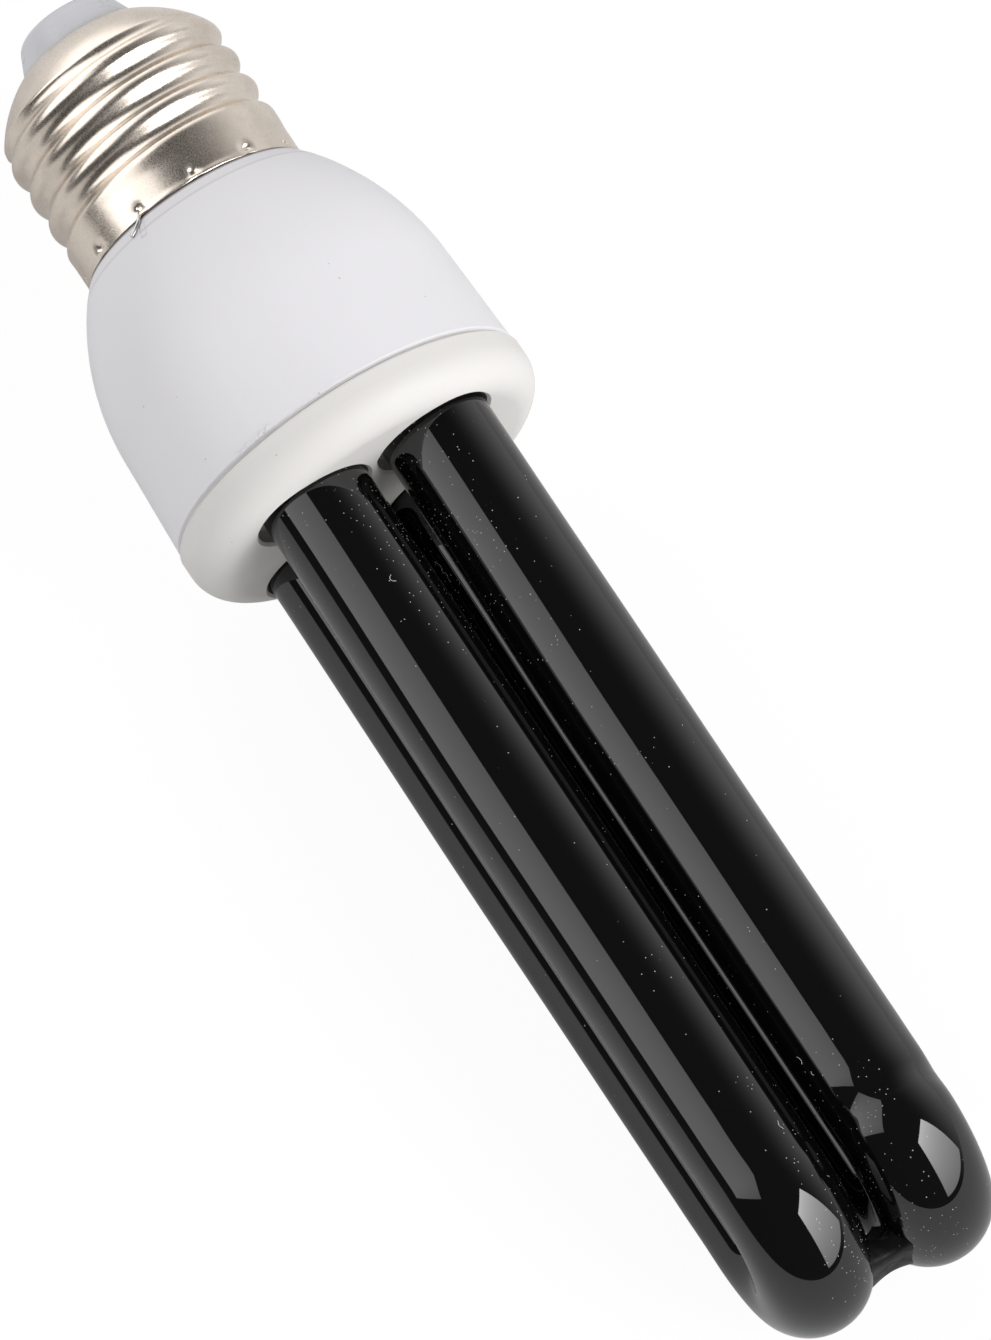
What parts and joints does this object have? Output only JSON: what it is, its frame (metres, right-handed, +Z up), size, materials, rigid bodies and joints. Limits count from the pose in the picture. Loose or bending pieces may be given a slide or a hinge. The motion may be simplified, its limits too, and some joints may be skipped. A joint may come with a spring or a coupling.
{
  "type": "black light bulb",
  "caption": "Compact ultraviolet black-light lamp: U-bent black glass tubes in a white two-piece housing on an Edison screw cap, lying on its side.",
  "frame": {"origin": "middle of the lamp's bounding box, on the surface that it lies on", "axes": "+X along the lamp, from the screw cap towards the tube crowns; +Z up, away from the surface"},
  "size_m": [0.1634, 0.0414, 0.0415],
  "materials": {
    "nickel": "bright nickel plate, lightly scuffed",
    "insulator_white": "satin moulded",
    "dome_white": "satin moulded, cool white",
    "plate_white": "satin moulded, warm white",
    "black_glass": "polished, opaque in visible light",
    "silicone": "cured silicone",
    "contact_metal": "pressed, dull",
    "cement": "cast",
    "board": "laminate",
    "tinned_wire": "tinned",
    "sleeve": "shrink sleeve",
    "ferrite": "sintered, matte",
    "bobbin": "moulded",
    "winding": "enamelled copper",
    "package": "moulded epoxy",
    "film": "dipped",
    "resistor": "painted"
  },
  "bodies": {
    "root": {"screw_shell": "nickel", "contact_insulator": "insulator_white", "centre_contact": "contact_metal", "upper_housing": "dome_white", "tube_plate": "plate_white", "discharge_tube": "black_glass", "tip_adhesive": "silicone", "tube_cement": "cement", "circuit_board": "board", "live_lead": "tinned_wire", "neutral_lead": "tinned_wire", "bulk_capacitor": "sleeve", "choke_core": "ferrite", "choke_bobbin": "bobbin", "choke_winding": "winding", "feedback_toroid": "ferrite", "resonant_capacitor": "film", "coupling_capacitor": "film", "fuse_resistor": "resistor", "filament_lead_1": "tinned_wire", "filament_lead_2": "tinned_wire", "filament_lead_3": "tinned_wire", "filament_lead_4": "tinned_wire", "switch_transistor_1": "package", "switch_transistor_2": "package", "rectifier_diode_1": "package", "rectifier_diode_2": "package", "rectifier_diode_3": "package", "rectifier_diode_4": "package"}
  },
  "joints": []
}
